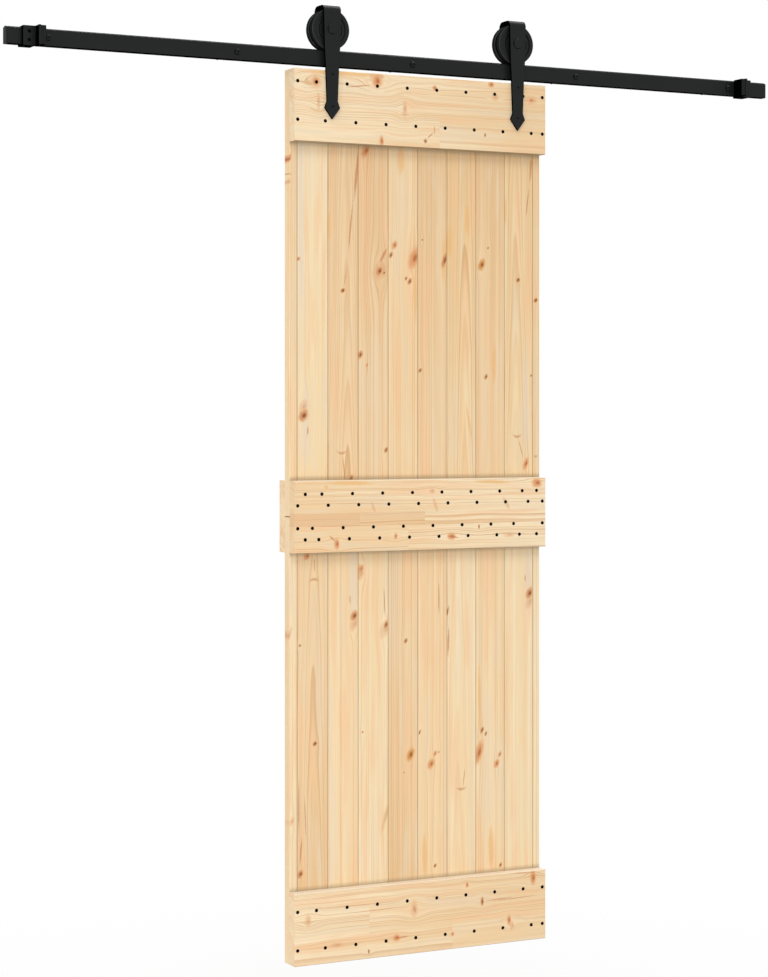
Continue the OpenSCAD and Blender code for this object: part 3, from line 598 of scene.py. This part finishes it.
def coat(name, colour, rough, gloss, grain, bump, paintedShade=0, axle=None):
    material = newMaterial(name)
    tree = material.node_tree
    x, y, z = [wire * perMetre for wire in coordinates(tree, "Object")]
    peel = noise(x / grain, y / grain, z / grain, coatLook["peelSeed"], coatLook["detail"])
    size = coatLook["cloudSize"]
    cloud = noise(x / size, y / size, z / size, coatLook["cloudSeed"], coatLook["detail"])
    lifted = tuple(coatLook["cloudLift"] * part for part in colour[:3]) + (1,)
    shade = blend(smooth(cloud, *coatLook["cloudSpan"]) * coatLook["cloudShare"], colour, lifted)
    across, towards, upward = coordinates(tree, "Normal")
    if axle:  # fine turning marks round the axle, a painted highlight on the edges, a ring painted as a dark line with a painted highlight beside it, a matt rim and painted shade in the groove
        away = ((x - axle.x) * (x - axle.x) + (z - axle.z) * (z - axle.z)).maths("SQRT")
        turning = (away * wheelEdge["turning"]).maths("SINE")
        height = peel * wheelEdge["peelHeight"] + turning * wheelEdge["turningHeight"]
        facing = abs(towards)
        # painted highlight on the chamfered edges between face and rim
        paintedHighlight = smooth(facing, *wheelEdge["paintedHighlightFrom"]) * (1 - smooth(facing, *wheelEdge["paintedHighlightTo"]))
        shade = blend(paintedHighlight, shade, wheelEdge["paintedHighlight"])
        ringEdge = away - wheelEdge["ringRadius"]
        ringHalf = wheelEdge["ringHalf"]
        # a ring painted as a thin dark line, with a painted highlight just outside it
        shade = blend(1 - smooth(abs(ringEdge - 2 * ringHalf), 0, ringHalf), shade, wheelEdge["paintedHighlight"])
        ringShade = 1 - smooth(abs(ringEdge), 0.5 * ringHalf, ringHalf)
        rimShare = 1 - smooth(facing, *wheelEdge["rimSpan"])
        dull = rimShare.maths("MAXIMUM", ringShade)
        # painted shade: the groove between the flanges is black
        grooveHalf = wheelEdge["grooveHalf"]
        outside = smooth(abs(y - axle.y), grooveHalf, grooveHalf + wheelEdge["grooveFade"]) * rimShare
        dullColour = blend(outside, wheelEdge["groove"], wheelEdge["rim"])
    else:  # painted shade: black without gloss on the sides that face left or down
        height = peel
        dull = smooth((across * -1).maths("MAXIMUM", upward * -1), *coatLook["paintedShadeSpan"]) * paintedShade
        dullColour = coatLook["paintedShade"]
    edge = peel.node(
        "ShaderNodeBevel", {"samples": coatLook["edgeSamples"]}, {"Radius": coatLook["edgeRound"]},
    )
    normal = height.node("ShaderNodeBump", {}, {
        "Strength": bump, "Distance": coatLook["bumpDepth"], "Height": height, "Normal": edge,
    })
    cloudRough, peelRough = coatLook["cloudRough"], coatLook["peelRough"]
    inputs = {
        "Base Color": shade,
        "Roughness": cloud * cloudRough + peel * peelRough + (rough - (cloudRough + peelRough) / 2),
        "Specular IOR Level": gloss, "Normal": normal,
    }
    return setSurface(material, inputs, dull, {"Base Color": dullColour, "Specular IOR Level": 0})


def bearingSteel(look):
    material = newMaterial("bearing_steel")
    x, y, z = [wire * perMetre for wire in coordinates(material.node_tree, "Object")]
    wide, fine = look["scratch"]
    scratch = noise(x / wide, y / fine, z / wide, look["seed"], look["detail"])
    return setSurface(material, {
        "Base Color": blend(scratch * look["dullShare"], look["colour"], look["dull"]),
        "Metallic": 1, "Roughness": scratch * look["scratchRough"] + look["roughness"],
    })


finishes = {name: coat(name, **look) for name, look in coatLooks.items() if name != "wheel_steel"}
finishes["bearing_steel"] = bearingSteel({
    "colour": paint(200, 201, 204), "dull": paint(150, 151, 154), "dullShare": 0.3, "roughness": 0.22,
    "scratchRough": 0.15, "scratch": (4, 0.3), "seed": 2.5, "detail": 3,  # scratches in millimetres
})
for subpart in frame["record"]["subparts"]:
    if subpart["material_slot"] in finishes:
        wear(subpart["node"], finishes[subpart["material_slot"]])
for joint in frame["joints"]:
    if joint["type"] == "hinge":
        wheelName = joint["child"].replace("roller", "wheel")
        low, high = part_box(wheelName)
        middle = (low + high) / 2 * perMetre
        wear(wheelName, coat("steel_" + wheelName, axle=middle, **coatLooks["wheel_steel"]))
print("hardware finished")

# Stage: a pale floor, soft light from above and a white background
stageLook = {
    "floorDrop": 0.3, "floorSize": 30, "shadowNear": 0.4, "shadowFar": 2.4,  # metres
    "floor": paint(224, 224, 224), "shadow": 0.16, "ambient": 0.66,
}
lampLooks = {
    "key_light": {"place": (-4, -9.2, 8.7), "size": 5.7, "power": 460},
    "foot_light": {"place": (-1.5, -3.2, -2.2), "size": 1, "power": 25},
    "side_light": {"place": (-5, -1.2, -0.4), "size": 3, "power": 42},
    "top_light": {"place": (1.6, 0.15, 3.25), "size": 0.7, "power": 34},
    "back_light": {"place": (1.2, 4.6, 2.4), "size": 3, "power": 122},
}
aim = (cadBox[0] + cadBox[1]) / 2
bpy.ops.object.select_all(action="DESELECT")
floorPlace = (0, 0, cadBox[0].z - stageLook["floorDrop"])
bpy.ops.mesh.primitive_plane_add(size=stageLook["floorSize"], location=floorPlace)
floor = bpy.context.object
floor.name = "floor"
floorPaint = newMaterial("floor_white")
startWire = Wire(floorPaint.node_tree)
matt = startWire.node("ShaderNodeBsdfDiffuse", {}, {"Color": stageLook["floor"]})
glow = startWire.node("ShaderNodeEmission", {}, {"Color": (1, 1, 1, 1), "Strength": 1})
floorX, floorY = coordinates(floorPaint.node_tree, "Object")[:2]
away = (floorX * floorX + floorY * floorY).maths("SQRT")
shadowShare = (1 - smooth(away, stageLook["shadowNear"], stageLook["shadowFar"])) * stageLook["shadow"]
white = seenDirectly(startWire) * (1 - shadowShare)
mixed = startWire.node("ShaderNodeMixShader", {}, {0: white, 1: matt, 2: glow})
startWire.node("ShaderNodeOutputMaterial", {}, {"Surface": mixed})
floor.data.materials.append(floorPaint)

world = bpy.data.worlds.new("studio")
bpy.context.scene.world = world
world.use_nodes = True
world.node_tree.nodes.clear()
sky = Wire(world.node_tree)
ambient = sky.node("ShaderNodeBackground", {}, {"Color": (1, 1, 1, 1), "Strength": stageLook["ambient"]})
whiteout = sky.node("ShaderNodeBackground", {}, {"Color": (1, 1, 1, 1), "Strength": 1})
both = sky.node("ShaderNodeMixShader", {}, {0: seenDirectly(sky), 1: ambient, 2: whiteout})
sky.node("ShaderNodeOutputWorld", {}, {"Surface": both})

for lampName, look in lampLooks.items():
    lampData = bpy.data.lights.new(lampName, "AREA")
    lampData.size = look["size"]
    lampData.energy = look["power"]
    lamp = bpy.data.objects.new(lampName, lampData)
    bpy.context.scene.collection.objects.link(lamp)
    lamp.location = look["place"]
    lamp.rotation_euler = (aim - lamp.location).to_track_quat("-Z", "Y").to_euler()
bpy.context.scene.view_settings.view_transform = "Standard"
print("stage finished")
